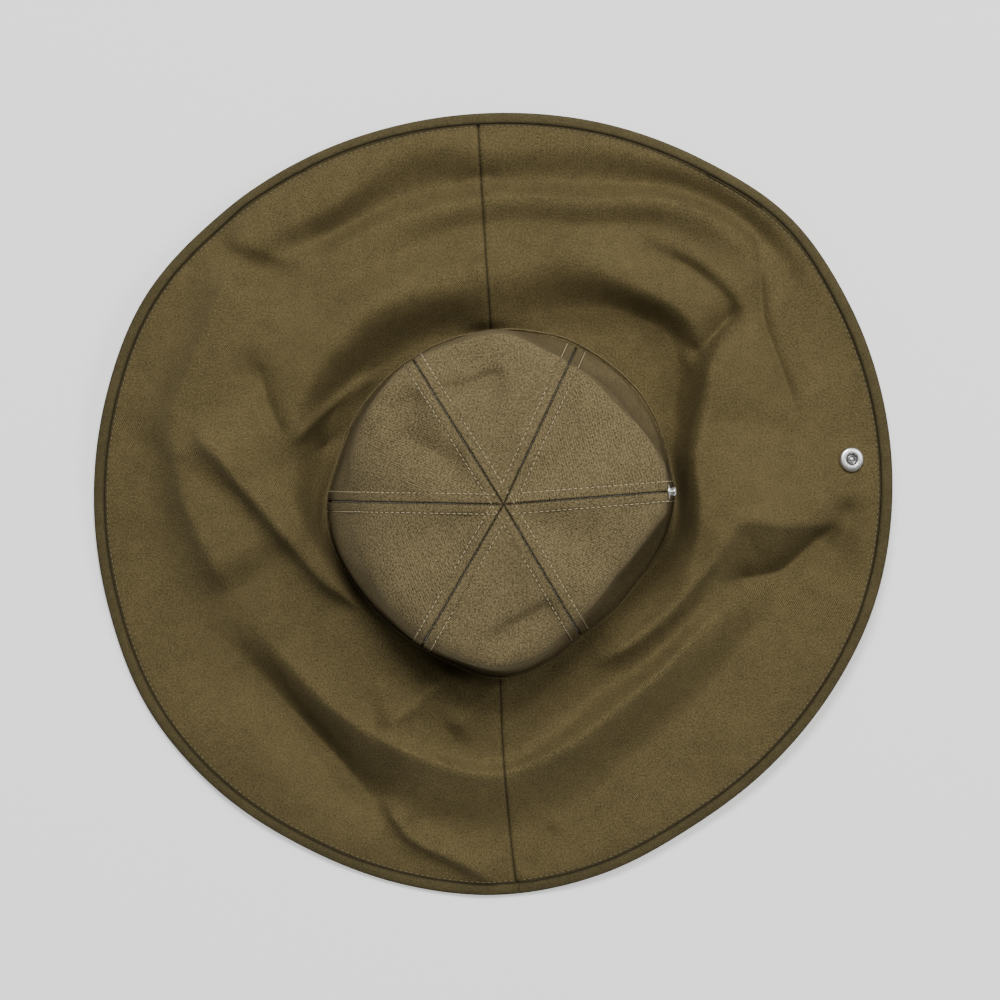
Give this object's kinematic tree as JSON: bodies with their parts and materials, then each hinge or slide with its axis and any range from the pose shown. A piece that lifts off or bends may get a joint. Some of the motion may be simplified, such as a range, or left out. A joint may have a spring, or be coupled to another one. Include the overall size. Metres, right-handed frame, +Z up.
{
  "type": "wide-brimmed six-panel canvas hat",
  "caption": "Soft canvas sun hat with a panelled crown, a wide folded brim with bound edge, and a snap that holds the brim up at one side.",
  "frame": {"origin": "centre of the hat's outline on the surface it lies on", "axes": "+Z up through the crown, +X towards the side with the snap, +Y towards the brim seam at the back"},
  "size_m": [0.4236, 0.415, 0.0901],
  "materials": {
    "crown_canvas": "matte olive cotton canvas, fine diagonal weave",
    "brim_canvas": "matte olive cotton canvas, fine diagonal weave",
    "edge_binding": "matte dark olive woven tape",
    "snap_metal": "bright nickel plate"
  },
  "bodies": {
    "root": {"crown_panel_1": "crown_canvas", "crown_panel_2": "crown_canvas", "crown_panel_3": "crown_canvas", "crown_panel_4": "crown_canvas", "crown_panel_5": "crown_canvas", "crown_panel_6": "crown_canvas", "brim_left": "brim_canvas", "brim_right": "brim_canvas", "edge_binding_left": "edge_binding", "edge_binding_right": "edge_binding", "snap_socket": "snap_metal", "snap_socket_back": "snap_metal", "snap_stud": "snap_metal", "snap_stud_back": "snap_metal"}
  },
  "joints": []
}
